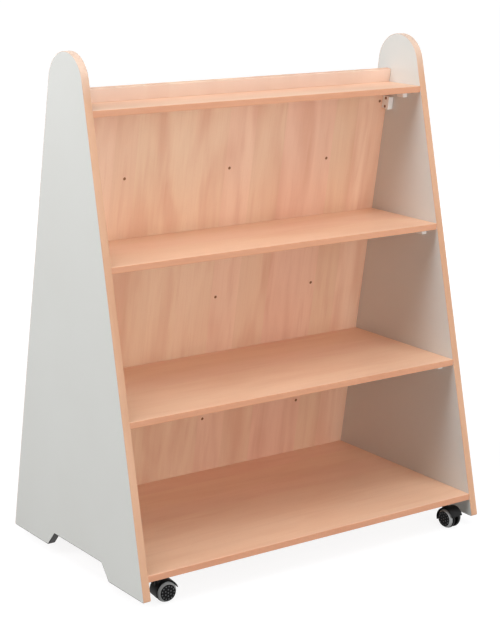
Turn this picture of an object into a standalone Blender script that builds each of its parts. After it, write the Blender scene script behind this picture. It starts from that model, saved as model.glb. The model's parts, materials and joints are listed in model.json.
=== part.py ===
import math

import bmesh
import bpy
from mathutils import Matrix, Vector

# A mobile bookshelf: two A-shaped side panels, four shelves and a leaning back
# panel, with display ledges behind it, on four twin-wheel castors.
# X runs along the shelves, the front faces -Y, and Z = 0 is the floor.

# Driving sizes of the carcass, in metres
overall_width = 1.000
base_depth = 0.598              # of the side panels, at their feet
panel_thickness = 0.019
band_thickness = 0.001
foot_clearance = 0.0265         # floor to the underside of the side panels
shelf_thickness = 0.016
lower_bay_height = 0.3185       # clear heights between one shelf and the next
middle_bay_height = 0.322
upper_bay_height = 0.326
top_shelf_depth = 0.122
rear_run = 0.1767               # how far the rear edge leans in, foot to top shelf
crown_rise = 0.1265             # top shelf to the top of the side panels
arris_radius = 0.0016           # rounding of the banded shelf edges

# The feet and the notch between them
front_foot_length = 0.151
rear_foot_length = 0.166
notch_rise = 0.037
notch_run = 0.032               # how far each end of the notch slopes
foot_corner_radius = 0.004
notch_corner_radius = 0.005

# The back panel and its display ledges
back_thickness = 0.016
back_setback = 0.054            # panel's rear edge to the front of the back panel, level
back_rise = 0.033               # top shelf to the top of the back panel
ledge_rise = 0.151              # shelf top to the line of ledge screws
ledge_screw_spacing = 0.3035
ledge_thickness = 0.016
ledge_depth = 0.035
lip_thickness = 0.009
lip_height = 0.014

# Corner blocks, shelf blocks and screws
corner_block_width = 0.015
corner_block_depth = 0.025
corner_block_height = 0.034
corner_block_drop = 0.018       # underside of the top shelf to the block
corner_screw_spacing = 0.022
shelf_block_width = 0.015
shelf_block_depth = 0.024
shelf_block_height = 0.017
shelf_block_setback = 0.038     # shelf's front edge to its block
block_edge_radius = 0.0012
side_screw_inset = 0.023        # side panel to the screw beside the corner block
screw_head_diameter = 0.0076
screw_head_height = 0.0026
screw_shank_diameter = 0.004
screw_tip_length = 0.004
screw_sink = 0.0002             # how far a head lies below its face
ledge_screw_grip = 0.018        # length in the ledge
corner_screw_grip = 0.010       # length in the side panel
back_screw_cover = 0.0024       # wood left behind the tip of the screw beside the block
slot_length = 0.0042            # cross recess in each head
slot_width = 0.0009
slot_depth = 0.0012

# Castors
wheel_diameter = 0.050
wheel_width = 0.0168
wheel_spacing = 0.0104          # between the two inner faces
hub_cap_radius = 0.0183
hub_rim_width = 0.0009          # step from the hub cap to the shoulder
hub_rim_drop = 0.0008
shoulder_width = 0.0078         # tread to outer face
shoulder_fall = 0.0012          # tread radius to the bulge of the shoulder
shoulder_bulge = 0.0033         # how far out the bulge lies
inner_chamfer_width = 0.0014    # along the tread
inner_chamfer_fall = 0.0012     # down the inner face
hub_wall = 0.0042               # outer face to the blind end of the axle's bore
castor_trail = 0.016
tread_gap = 0.0012
hood_wall = 0.0018
hood_width = 0.038
hood_web = 0.008
hood_front_angle = 18.0         # degrees above the axle, on the trailing side
hood_rear_angle = 198.0         # the leading side reaches below the axle
lobe_start_angle = 250.0        # round the underside of the axle
lobe_end_angle = 340.0
axle_diameter = 0.006
axle_lobe_radius = 0.008
boss_radius = 0.0075
boss_rise = 0.0107              # top of the hood to the top of its boss
stem_radius = 0.004
stem_length = 0.008
plate_width = 0.040
plate_thickness = 0.0025
plate_corner_radius = 0.005
plate_hole_spacing = 0.030
plate_hole_diameter = 0.0046
castor_inset = 0.0355           # shelf's edge to the swivel axis
castor_side_gap = 0.0015        # between a turning hood and the side panel
left_castor_turn = -6.0         # degrees about the swivel axis, as they stand
right_castor_turn = -85.0

# Clearances
fit_gap = 0.0003
running_gap = 0.0002
cut_margin = 0.002              # how far a cutter passes the face that it cuts

# Facets
arc_step = math.radians(7.5)
sharp_angle = math.radians(32)
wheel_steps = 32
rod_steps = 24
hole_steps = 12
bevel_segments = 2
weld_distance = 1e-6

# Levels of the castors and shelves, from the floor up
wheel_radius = wheel_diameter / 2
hood_inner_radius = wheel_radius + tread_gap
hood_outer_radius = hood_inner_radius + hood_wall
boss_top = wheel_radius + hood_outer_radius + boss_rise
axle_end = wheel_spacing / 2 + wheel_width - hub_wall
plate_bottom = boss_top + fit_gap
plate_top = plate_bottom + plate_thickness
base_shelf_top = plate_top + fit_gap + shelf_thickness
lower_shelf_top = base_shelf_top + lower_bay_height + shelf_thickness
upper_shelf_top = lower_shelf_top + middle_bay_height + shelf_thickness
top_shelf_top = upper_shelf_top + upper_bay_height + shelf_thickness
panel_top = top_shelf_top + crown_rise

# Depths follow the two leaning edges
lean_height = top_shelf_top - foot_clearance
front_run = base_depth - top_shelf_depth - back_setback - rear_run
front_lean = front_run / lean_height
rear_lean = rear_run / lean_height
inner_half = overall_width / 2 - panel_thickness
board_length = 2 * (inner_half - fit_gap)
back_tilt = math.atan(rear_lean)
back_bottom = base_shelf_top + fit_gap
steps_of_ledges = (base_shelf_top, lower_shelf_top, upper_shelf_top)


def front_edge(z):
    return -base_depth / 2 + front_lean * (z - foot_clearance)


def rear_edge(z):
    return base_depth / 2 - rear_lean * (z - foot_clearance)


def back_face(z):
    return rear_edge(z) - back_setback


# The swivel axes: the far corner of a turning hood or wheel stays clear of the side panel
hood_far_edge = castor_trail + hood_outer_radius * math.cos(math.radians(hood_front_angle))
wheel_far_corner = math.hypot(castor_trail + wheel_radius, axle_end + hub_wall - shoulder_width)
castor_swing = max(math.hypot(hood_far_edge, hood_width / 2), wheel_far_corner)
castor_across = inner_half - castor_swing - castor_side_gap
front_castor_y = front_edge(base_shelf_top) + castor_inset
rear_castor_y = rear_edge(base_shelf_top) - castor_inset


# Scene, collections and materials
for old in list(bpy.data.objects):
    bpy.data.objects.remove(old, do_unlink=True)

parts = bpy.data.collections.new("bookshelf")
cutters = bpy.data.collections.new("bookshelf_cutters")
bpy.context.scene.collection.children.link(parts)
bpy.context.scene.collection.children.link(cutters)


def make_material(name, colour, roughness, metallic=0.0):
    made = bpy.data.materials.new(name)
    made.use_nodes = True
    shader = made.node_tree.nodes["Principled BSDF"]
    shader.inputs["Base Color"].default_value = (*colour, 1.0)
    shader.inputs["Roughness"].default_value = roughness
    shader.inputs["Metallic"].default_value = metallic
    return made


def own_material(name, finish):
    colour, roughness, metallic = finish
    return make_material(name, colour, roughness, metallic)


grey_melamine = ((0.68, 0.68, 0.66), 0.45, 0.0)
beech_decor = ((0.74, 0.46, 0.29), 0.45, 0.0)
dark_edging = ((0.025, 0.023, 0.021), 0.55, 0.0)
white_plastic = ((0.80, 0.80, 0.78), 0.40, 0.0)
black_nylon = ((0.020, 0.020, 0.021), 0.42, 0.0)
grey_tread = ((0.075, 0.076, 0.078), 0.50, 0.0)
zinc_plate = ((0.56, 0.57, 0.58), 0.35, 1.0)
bronzed_screw = ((0.10, 0.055, 0.035), 0.45, 0.8)


# Outlines: corners are (across, up, radius), counter-clockwise
def inset_corners(corners, distance):
    count = len(corners)
    spots = [Vector(corner[:2]) for corner in corners]
    moved = []
    for i in range(count):
        before = (spots[i] - spots[i - 1]).normalized()
        after = (spots[(i + 1) % count] - spots[i]).normalized()
        turn = before.cross(after)
        inward_before = Vector((-before.y, before.x))
        inward_after = Vector((-after.y, after.x))
        share = distance / (1.0 + inward_before.dot(inward_after))
        spot = spots[i] + share * (inward_before + inward_after)
        grown = corners[i][2] - distance if turn > 0 else corners[i][2] + distance
        moved.append((spot.x, spot.y, grown))
    return moved


def corner_arc(before, corner, after):
    here = Vector(corner[:2])
    into = (here - Vector(before[:2])).normalized()
    out_of = (Vector(after[:2]) - here).normalized()
    turn = math.atan2(into.cross(out_of), into.dot(out_of))
    radius = corner[2]
    if radius <= 0:
        return [(here.x, here.y)]
    side = math.copysign(1.0, turn)
    start = here - into * radius * math.tan(abs(turn) / 2)
    centre = start + side * radius * Vector((-into.y, into.x))
    steps = max(2, math.ceil(abs(turn) / arc_step))
    arm = start - centre
    points = []
    for i in range(steps + 1):
        spot = centre + Matrix.Rotation(turn * i / steps, 2) @ arm
        points.append((spot.x, spot.y))
    return points


def corner_arcs(corners):
    count = len(corners)
    return [corner_arc(corners[i - 1], corners[i], corners[(i + 1) % count]) for i in range(count)]


def joined(arcs):
    return [point for arc in arcs for point in arc]


def round_arc(centre, radius, start, end):
    turn = math.radians(end - start)
    steps = math.ceil(abs(turn) / arc_step)
    angles = [math.radians(start) + turn * i / steps for i in range(steps + 1)]
    return [(centre[0] + radius * math.cos(a), centre[1] + radius * math.sin(a)) for a in angles]


# Solids
def mesh_of(source):
    graph = bpy.context.evaluated_depsgraph_get()
    mesh = bpy.data.meshes.new_from_object(source.evaluated_get(graph))
    bpy.data.objects.remove(source, do_unlink=True)
    shell = bmesh.new()
    shell.from_mesh(mesh)
    bmesh.ops.remove_doubles(shell, verts=shell.verts, dist=weld_distance)
    bmesh.ops.recalc_face_normals(shell, faces=shell.faces)
    shell.to_mesh(mesh)
    shell.free()
    return mesh


def outline_mesh(points, thickness):
    # A flat outline in local XY, with its thickness centred on local Z
    curve = bpy.data.curves.new("outline", "CURVE")
    curve.dimensions = "2D"
    curve.fill_mode = "BOTH"
    curve.extrude = thickness / 2
    spline = curve.splines.new("POLY")
    spline.points.add(len(points) - 1)
    for spot, point in zip(spline.points, points):
        spot.co = (point[0], point[1], 0.0, 1.0)
    spline.use_cyclic_u = True
    source = bpy.data.objects.new("outline", curve)
    parts.objects.link(source)
    bpy.context.view_layer.update()
    return mesh_of(source)


def turned_mesh(profile, steps):
    # A profile of (radius, height), from the top down, turned about local Z
    mesh = bpy.data.meshes.new("profile")
    edges = [(i, i + 1) for i in range(len(profile) - 1)]
    mesh.from_pydata([(radius, 0.0, height) for radius, height in profile], edges, [])
    source = bpy.data.objects.new("profile", mesh)
    parts.objects.link(source)
    screw = source.modifiers.new("turn", "SCREW")
    screw.steps = steps
    screw.render_steps = steps
    screw.use_merge_vertices = True
    screw.merge_threshold = weld_distance
    bpy.context.view_layer.update()
    made = mesh_of(source)
    bpy.data.meshes.remove(mesh)
    made.shade_smooth()
    made.set_sharp_from_angle(angle=sharp_angle)
    return made


def block_mesh(size):
    shell = bmesh.new()
    bmesh.ops.create_cube(shell, size=1.0, matrix=Matrix.Diagonal((*size, 1.0)))
    mesh = bpy.data.meshes.new("block")
    shell.to_mesh(mesh)
    shell.free()
    return mesh


def rod_mesh(radius, low, high, steps):
    return turned_mesh([(0.0, high), (radius, high), (radius, low), (0.0, low)], steps)


def place(name, mesh, finish, location=(0, 0, 0), rotation=(0, 0, 0), parent=None):
    made = bpy.data.objects.new(name, mesh)
    parts.objects.link(made)
    made.location = location
    made.rotation_euler = rotation
    made.parent = parent
    if finish:
        if not mesh.materials:
            mesh.materials.append(None)
        made.material_slots[0].link = "OBJECT"
        made.material_slots[0].material = own_material(name, finish)
    return made


def make_empty(name, location, rotation=(0, 0, 0)):
    made = bpy.data.objects.new(name, None)
    parts.objects.link(made)
    made.location = location
    made.rotation_euler = rotation
    return made


def make_cutter(name, mesh, places, parent=None):
    # One cutter object that holds a copy of the mesh at each place
    shell = bmesh.new()
    for spot in places:
        copy = mesh.copy()
        copy.transform(spot)
        shell.from_mesh(copy)
        bpy.data.meshes.remove(copy)
    merged = bpy.data.meshes.new(name)
    shell.to_mesh(merged)
    shell.free()
    made = bpy.data.objects.new(name, merged)
    cutters.objects.link(made)
    made.parent = parent
    made.hide_render = True
    made.display_type = "WIRE"
    return made


def cut(target, tool, operation="DIFFERENCE"):
    boolean = target.modifiers.new(tool.name, "BOOLEAN")
    boolean.operation = operation
    boolean.solver = "EXACT"
    boolean.object = tool


def soften(target, width):
    bevel = target.modifiers.new("soft_edges", "BEVEL")
    bevel.width = width
    bevel.segments = bevel_segments
    bevel.limit_method = "ANGLE"


# A section drawn as (Y, Z) lies in local XY and is extruded along X
along_x = (math.pi / 2, 0.0, math.pi / 2)
along_y = (math.pi / 2, 0.0, 0.0)
sides = (("left", -1), ("right", 1))


# Screws point down local -Z from the face that they are driven into
def screw_profile(grip, extra=0.0):
    head = screw_head_diameter / 2 + extra
    shank = screw_shank_diameter / 2 + extra
    top = cut_margin if extra else -screw_sink
    seat = -screw_sink - screw_head_height
    tip = -grip - extra
    return [(0.0, top), (head, top), (head, -screw_sink), (shank, seat),
            (shank, tip + screw_tip_length), (0.0, tip)]


def screw_hole_mesh(grip):
    return turned_mesh(screw_profile(grip, fit_gap), hole_steps)


def screw_mesh(grip):
    profile = screw_profile(grip)
    del profile[2]
    plain = bpy.data.objects.new("plain_screw", turned_mesh(profile, hole_steps))
    parts.objects.link(plain)
    arm = block_mesh((slot_length, slot_width, 2 * slot_depth))
    top = Matrix.Translation((0.0, 0.0, -screw_sink))
    for turn in (0.0, math.pi / 2):
        cut(plain, make_cutter("slot", arm, [top @ Matrix.Rotation(turn, 4, "Z")]))
    bpy.context.view_layer.update()
    made = mesh_of(plain)
    for tool in [item for item in cutters.objects if item.name.startswith("slot")]:
        bpy.data.objects.remove(tool, do_unlink=True)
    made.shade_smooth()
    made.set_sharp_from_angle(angle=sharp_angle)
    return made


# Side panels: a core, a band from foot to foot over the crown, and the edging below
def panel_corners():
    half = base_depth / 2
    low = foot_clearance
    high = foot_clearance + notch_rise
    notch_start = -half + front_foot_length
    notch_end = half - rear_foot_length
    apex_rise = base_depth / (front_lean + rear_lean)
    front_angle = math.atan(front_lean)
    rear_angle = math.atan(rear_lean)
    half_wedge = (front_angle + rear_angle) / 2
    tilt = (front_angle - rear_angle) / 2
    crown_radius = (low + apex_rise - panel_top) / (math.cos(tilt) / math.sin(half_wedge) - 1.0)
    return [
        (-half, low, foot_corner_radius),
        (notch_start, low, foot_corner_radius),
        (notch_start + notch_run, high, notch_corner_radius),
        (notch_end - notch_run, high, notch_corner_radius),
        (notch_end, low, foot_corner_radius),
        (half, low, foot_corner_radius),
        (-half + front_lean * apex_rise, low + apex_rise, crown_radius),
    ]


def strip(outer, inner):
    return outer + inner[::-1]


def make_side_panels():
    corners = panel_corners()
    outer = corner_arcs(corners)
    inner = corner_arcs(inset_corners(corners, band_thickness))
    core = joined(corner_arcs(inset_corners(corners, band_thickness + fit_gap)))

    def band_path(arcs):
        return joined([arcs[5], arcs[6], arcs[0]])

    def base_path(arcs):
        first = (arcs[0][-1][0] + fit_gap, arcs[0][-1][1])
        last = (arcs[5][0][0] - fit_gap, arcs[5][0][1])
        return [first] + joined(arcs[1:5]) + [last]

    panels = {}
    for side, sign in sides:
        middle = (sign * (overall_width - panel_thickness) / 2, 0.0, 0.0)
        panels[side] = place(f"{side}_side_panel", outline_mesh(core, panel_thickness),
                             grey_melamine, middle, along_x)
        band = strip(band_path(outer), band_path(inner))
        place(f"{side}_edge_band", outline_mesh(band, panel_thickness), beech_decor, middle, along_x)
        edging = strip(base_path(outer), base_path(inner))
        place(f"{side}_base_edging", outline_mesh(edging, panel_thickness), dark_edging, middle, along_x)
    return panels


# Shelves: banded front edges, and rear edges cut to the lean of the back panel
def shelf_section(top):
    bottom = top - shelf_thickness
    front = front_edge(top)
    return [
        (front, bottom, arris_radius),
        (back_face(bottom) - fit_gap, bottom, 0.0),
        (back_face(top) - fit_gap, top, 0.0),
        (front, top, arris_radius),
    ]


def base_shelf_section():
    bottom = base_shelf_top - shelf_thickness
    front = front_edge(base_shelf_top)
    rear = rear_edge(base_shelf_top)
    return [(front, bottom, arris_radius), (rear, bottom, arris_radius),
            (rear, base_shelf_top, arris_radius), (front, base_shelf_top, arris_radius)]


def make_shelves():
    sections = {
        "base_shelf": base_shelf_section(),
        "lower_shelf": shelf_section(lower_shelf_top),
        "upper_shelf": shelf_section(upper_shelf_top),
        "top_shelf": shelf_section(top_shelf_top),
    }
    for name, section in sections.items():
        place(name, outline_mesh(joined(corner_arcs(section)), board_length),
              beech_decor, rotation=along_x)


# The back panel's own frame: its front face is Y = 0, and Z runs up the slope
def up_slope(z):
    return (z - back_bottom) / math.cos(back_tilt)


def make_back_panel(back_frame):
    length = up_slope(top_shelf_top + back_rise)
    section = [(0.0, 0.0, 0.0), (back_thickness, 0.0, 0.0),
               (back_thickness, length, arris_radius), (0.0, length, arris_radius)]
    return place("back_panel", outline_mesh(joined(corner_arcs(section)), board_length),
                 beech_decor, rotation=along_x, parent=back_frame)


def make_ledges(back_frame):
    # An L section: its tread is centred on the screws, and its lip rises at the rear
    near = back_thickness + fit_gap
    far = near + ledge_depth
    half = ledge_thickness / 2
    lip_top = half + lip_height
    section = [(near, -half, 0.0), (far, -half, arris_radius), (far, lip_top, arris_radius),
               (far - lip_thickness, lip_top, arris_radius), (far - lip_thickness, half, 0.0),
               (near, half, 0.0)]
    outline = joined(corner_arcs(section))
    ledges = []
    for name, step in zip(("lower", "middle", "upper"), steps_of_ledges):
        level = (0.0, 0.0, up_slope(step + ledge_rise))
        ledges.append(place(f"{name}_display_ledge", outline_mesh(outline, board_length),
                            beech_decor, level, along_x, back_frame))
    return ledges


def make_back_screws(back_frame, back_panel, ledges):
    into_panel = Matrix.Rotation(math.pi / 2, 4, "X")
    grip = back_thickness + ledge_screw_grip
    spots = [Vector((x, 0.0, ledge.location.z))
             for ledge in ledges for x in (-ledge_screw_spacing, 0.0, ledge_screw_spacing)]
    mesh = screw_mesh(grip)
    for number, spot in enumerate(spots, 1):
        place(f"ledge_screw_{number}", mesh, bronzed_screw, spot, into_panel.to_euler(), back_frame)
    holes = make_cutter("ledge_screw_holes", screw_hole_mesh(grip),
                        [Matrix.Translation(spot) @ into_panel for spot in spots], back_frame)
    for board in [back_panel] + ledges:
        cut(board, holes)


# Corner blocks stand on the back panel and against a side panel
def make_corner_blocks(back_frame, back_panel, panels):
    top = up_slope(top_shelf_top - shelf_thickness - corner_block_drop)
    level = top - corner_block_height / 2
    size = (corner_block_width, corner_block_depth, corner_block_height)
    block_face = inner_half - fit_gap - corner_block_width
    grip = inner_half + corner_screw_grip - block_face
    long_screw = screw_mesh(grip)
    long_hole = screw_hole_mesh(grip)
    short_grip = back_thickness - back_screw_cover
    short_screw = screw_mesh(short_grip)
    short_hole = screw_hole_mesh(short_grip)
    into_back = Matrix.Rotation(math.pi / 2, 4, "X")
    half_depth = -fit_gap - corner_block_depth / 2
    for side, sign in sides:
        middle = (sign * (block_face + corner_block_width / 2), half_depth, level)
        block = place(f"{side}_corner_block", block_mesh(size), white_plastic, middle, parent=back_frame)
        soften(block, block_edge_radius)
        into_side = Matrix.Rotation(-sign * math.pi / 2, 4, "Y")
        spots = [Vector((sign * block_face, half_depth, level + lift * corner_screw_spacing / 2))
                 for lift in (1, -1)]
        for number, spot in enumerate(spots, 1):
            place(f"{side}_corner_screw_{number}", long_screw, bronzed_screw, spot,
                  into_side.to_euler(), back_frame)
        holes = make_cutter(f"{side}_corner_holes", long_hole,
                            [Matrix.Translation(spot) @ into_side for spot in spots], back_frame)
        cut(block, holes)
        cut(panels[side], holes)
        spot = Vector((sign * (inner_half - side_screw_inset), 0.0, level))
        place(f"{side}_back_screw", short_screw, bronzed_screw, spot, into_back.to_euler(), back_frame)
        cut(back_panel, make_cutter(f"{side}_back_hole", short_hole,
                                    [Matrix.Translation(spot) @ into_back], back_frame))


def make_shelf_blocks():
    # The base shelf's blocks stand behind the front castors' swing
    levels = {"base": base_shelf_top, "lower": lower_shelf_top,
              "upper": upper_shelf_top, "top": top_shelf_top}
    size = (shelf_block_width, shelf_block_depth, shelf_block_height)
    for name, top in levels.items():
        front = front_edge(top) + shelf_block_setback
        if name == "base":
            front = front_castor_y + castor_swing + castor_side_gap
        if name == "top":
            front = (front_edge(top) + back_face(top) - shelf_block_depth) / 2
        bottom = top - shelf_thickness - fit_gap
        for side, sign in sides:
            middle = (sign * (inner_half - fit_gap - shelf_block_width / 2),
                      front + shelf_block_depth / 2, bottom - shelf_block_height / 2)
            block = place(f"{side}_{name}_shelf_block", block_mesh(size), white_plastic, middle)
            soften(block, block_edge_radius)


# Castors: local X is the trailing direction and the swivel axis is the origin
def wheel_mesh():
    # Turned about the axle: height is measured out from the castor's middle
    inner = wheel_spacing / 2
    outer = inner + wheel_width
    tread = wheel_radius / math.cos(math.pi / wheel_steps)
    bore = axle_diameter / 2 + running_gap
    edge = outer - shoulder_width
    profile = [
        (0.0, outer),
        (hub_cap_radius, outer),
        (hub_cap_radius + hub_rim_width, outer - hub_rim_drop),
        (tread - shoulder_fall, edge + shoulder_bulge),
        (tread, edge),
        (tread, inner + inner_chamfer_width),
        (tread - inner_chamfer_fall, inner),
        (bore, inner),
        (bore, axle_end + fit_gap),
        (0.0, axle_end + fit_gap),
    ]
    return turned_mesh(profile, wheel_steps)


def hood_object(name, parent):
    axle = (castor_trail, wheel_radius)
    outline = round_arc(axle, hood_outer_radius, hood_front_angle, hood_rear_angle)
    outline += round_arc(axle, axle_lobe_radius, lobe_start_angle, lobe_end_angle)
    hood = place(name, outline_mesh(outline, hood_width), black_nylon, rotation=along_y, parent=parent)
    boss_low = wheel_radius + axle_lobe_radius
    across = Matrix.Translation((castor_trail, 0.0, wheel_radius)) @ Matrix.Rotation(math.pi / 2, 4, "X")
    web = hood_web / 2
    well_far = hood_width / 2 + cut_margin
    stem_low = plate_bottom - stem_length - fit_gap
    upright = Matrix()
    boss = rod_mesh(boss_radius, boss_low, boss_top, rod_steps)
    near_well = rod_mesh(hood_inner_radius, web, well_far, wheel_steps)
    far_well = rod_mesh(hood_inner_radius, -well_far, -web, wheel_steps)
    axle_bore = rod_mesh(axle_diameter / 2 + fit_gap, -hood_web, hood_web, rod_steps)
    stem_bore = rod_mesh(stem_radius + running_gap, stem_low, boss_top + cut_margin, rod_steps)
    cut(hood, make_cutter(f"{name}_boss", boss, [upright], parent), "UNION")
    cut(hood, make_cutter(f"{name}_near_well", near_well, [across], parent))
    cut(hood, make_cutter(f"{name}_far_well", far_well, [across], parent))
    cut(hood, make_cutter(f"{name}_axle_bore", axle_bore, [across], parent))
    cut(hood, make_cutter(f"{name}_stem_bore", stem_bore, [upright], parent))


def plate_object(name, location):
    half = plate_width / 2
    corners = [(-half, -half, plate_corner_radius), (half, -half, plate_corner_radius),
               (half, half, plate_corner_radius), (-half, half, plate_corner_radius)]
    level = plate_bottom + plate_thickness / 2
    plate = place(name, outline_mesh(joined(corner_arcs(corners)), plate_thickness), zinc_plate,
                  (location[0], location[1], level))
    reach = plate_thickness / 2
    stem = rod_mesh(stem_radius, -reach - stem_length, 0.0, rod_steps)
    cut(plate, make_cutter(f"{name}_stem", stem, [Matrix()], plate), "UNION")
    hole = rod_mesh(plate_hole_diameter / 2, -reach - cut_margin, reach + cut_margin, hole_steps)
    spots = [Matrix.Translation((x * plate_hole_spacing / 2, y * plate_hole_spacing / 2, 0.0))
             for x in (-1, 1) for y in (-1, 1)]
    cut(plate, make_cutter(f"{name}_holes", hole, spots, plate))


def make_castors():
    axle = rod_mesh(axle_diameter / 2, -axle_end, axle_end, rod_steps)
    wheel = wheel_mesh()
    half_step = math.pi / wheel_steps
    for end, y in (("front", front_castor_y), ("rear", rear_castor_y)):
        for side, sign in sides:
            label = f"{end}_{side}_castor"
            spot = (sign * castor_across, y, 0.0)
            turn = left_castor_turn if side == "left" else right_castor_turn
            swivel = make_empty(f"{label}_swivel", spot, (0.0, 0.0, math.radians(turn)))
            plate_object(f"{label}_plate", spot)
            hood_object(f"{label}_hood", swivel)
            centre = (castor_trail, 0.0, wheel_radius)
            place(f"{label}_axle", axle, zinc_plate, centre, along_y, swivel)
            for number, facing in ((1, math.pi / 2), (2, -math.pi / 2)):
                lie = Matrix.Rotation(facing, 4, "X") @ Matrix.Rotation(half_step, 4, "Z")
                place(f"{label}_wheel_{number}", wheel, grey_tread, centre, lie.to_euler(), swivel)


side_panels = make_side_panels()
make_shelves()
back_origin = make_empty("back_frame", (0.0, back_face(back_bottom), back_bottom), (back_tilt, 0.0, 0.0))
back_board = make_back_panel(back_origin)
display_ledges = make_ledges(back_origin)
make_back_screws(back_origin, back_board, display_ledges)
make_corner_blocks(back_origin, back_board, side_panels)
make_shelf_blocks()
make_castors()
bpy.context.view_layer.update()
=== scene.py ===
import json
import math

import bmesh
import bpy
import numpy as np
from mathutils import Matrix, Vector


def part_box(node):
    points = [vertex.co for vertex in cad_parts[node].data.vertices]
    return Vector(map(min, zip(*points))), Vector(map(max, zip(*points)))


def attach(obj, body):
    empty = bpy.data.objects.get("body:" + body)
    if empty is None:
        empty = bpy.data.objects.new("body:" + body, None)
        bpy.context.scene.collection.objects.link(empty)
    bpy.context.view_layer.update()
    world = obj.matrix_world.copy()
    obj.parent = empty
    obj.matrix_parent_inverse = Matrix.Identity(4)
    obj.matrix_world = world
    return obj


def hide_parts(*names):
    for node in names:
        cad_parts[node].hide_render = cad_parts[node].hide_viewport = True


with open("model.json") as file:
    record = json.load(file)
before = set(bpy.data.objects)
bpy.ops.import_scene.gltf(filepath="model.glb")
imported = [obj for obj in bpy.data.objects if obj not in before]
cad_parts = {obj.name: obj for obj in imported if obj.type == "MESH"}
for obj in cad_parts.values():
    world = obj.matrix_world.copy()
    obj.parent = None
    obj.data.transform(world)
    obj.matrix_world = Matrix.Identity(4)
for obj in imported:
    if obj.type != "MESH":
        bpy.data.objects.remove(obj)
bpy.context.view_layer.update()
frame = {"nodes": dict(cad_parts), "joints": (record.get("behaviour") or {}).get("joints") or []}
nodes = frame["nodes"]
joints = {joint["name"]: joint for joint in frame["joints"]}
millimetre = 0.001
upward = np.array([0.0, 0.0, 1.0])


# Helpers for colours, nodes and meshes
def linear(hexText):  # sRGB hex to the linear colour that a shader takes
    srgb = np.array([int(hexText[i:i + 2], 16) for i in (1, 3, 5)]) / 255
    light = np.where(srgb <= 0.04045, srgb / 12.92, ((srgb + 0.055) / 1.055) ** 2.4)
    return (*light.tolist(), 1.0)


def addNode(tree, kind, sockets, **settings):  # sockets take a value or another node's output
    made = tree.nodes.new(kind)
    for name, value in settings.items():
        setattr(made, name, value)
    for name, value in sockets.items():
        if isinstance(value, bpy.types.NodeSocket):
            tree.links.new(value, made.inputs[name])
        else:
            made.inputs[name].default_value = value
    return made


def emptyFinish(name):  # a material with nothing in its tree yet
    finish = bpy.data.materials.new(name)
    finish.use_nodes = True
    finish.node_tree.nodes.clear()
    return finish, finish.node_tree


def box(node):  # a node's lowest and highest corners, as arrays
    low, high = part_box(node)
    return np.array(low), np.array(high)


def smoothStep(low, high, value):  # 0 below low, 1 above high, and a soft S between them
    share = np.clip((value - low) / (high - low), 0, 1)
    return share * share * (3 - 2 * share)


def ringPiece(name, rings, ends, sharpDegrees=40):
    # Rings of points, one after another along the piece: quads join each ring to the next.
    # Each end is closed by a flat cap, or drawn together to a pole at the middle of its ring.
    rows, columns = rings.shape[:2]
    index = np.arange(rows * columns).reshape(rows, columns)
    beside = np.roll(index, -1, axis=1)
    points = rings.reshape(-1, 3)
    faces = np.stack([index[:-1], beside[:-1], beside[1:], index[1:]], -1).reshape(-1, 4).tolist()
    if ends == "caps":
        faces += [index[0, ::-1].tolist(), index[-1].tolist()]
    if ends == "poles":
        points = np.vstack([points, rings[0].mean(0), rings[-1].mean(0)])
        firstPole = np.full(columns, rows * columns)
        faces += np.stack([beside[0], index[0], firstPole], -1).tolist()
        faces += np.stack([index[-1], beside[-1], firstPole + 1], -1).tolist()
    mesh = bpy.data.meshes.new(name)
    mesh.from_pydata(points.tolist(), [], faces)
    shell = bmesh.new()
    shell.from_mesh(mesh)
    bmesh.ops.recalc_face_normals(shell, faces=shell.faces)
    shell.to_mesh(mesh)
    shell.free()
    mesh.shade_smooth()
    mesh.set_sharp_from_angle(angle=math.radians(sharpDegrees))
    piece = bpy.data.objects.new(name, mesh)
    bpy.context.scene.collection.objects.link(piece)
    return piece


def settle(piece, finish, body, slot, *replaced):  # its finish, the body it rides on, what it stands for
    piece.data.materials.append(finish)
    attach(piece, body)
    if replaced:
        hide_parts(*replaced)


def perPoint(piece, name, values):  # a number at each point, which a material reads by name
    stored = piece.data.attributes.new(name, "FLOAT", "POINT")
    padded = np.zeros(len(piece.data.vertices), np.float32)
    padded[:len(values)] = values
    stored.data.foreach_set("value", padded)


# Melamine board, pressed against a pearl plate: an even pale grey with a fine soft grain,
# which breaks the highlights a little and shows no pattern from a step away.
greyBoard = {
    "tone": "#D9DAD7",
    "shade": "#D4D4D0",
    "cloudSize": 180 * millimetre,
    "cloudDetail": 3.0,
    "grainSize": 2.4 * millimetre,      # really about 0.4 mm, drawn coarser so that it shows
    "grainDepth": 0.03 * millimetre,
    "bumpStrength": 0.6,
    "roughness": (0.40, 0.50),
    "ior": 1.48,
    "gloss": 0.5,
}


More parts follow.
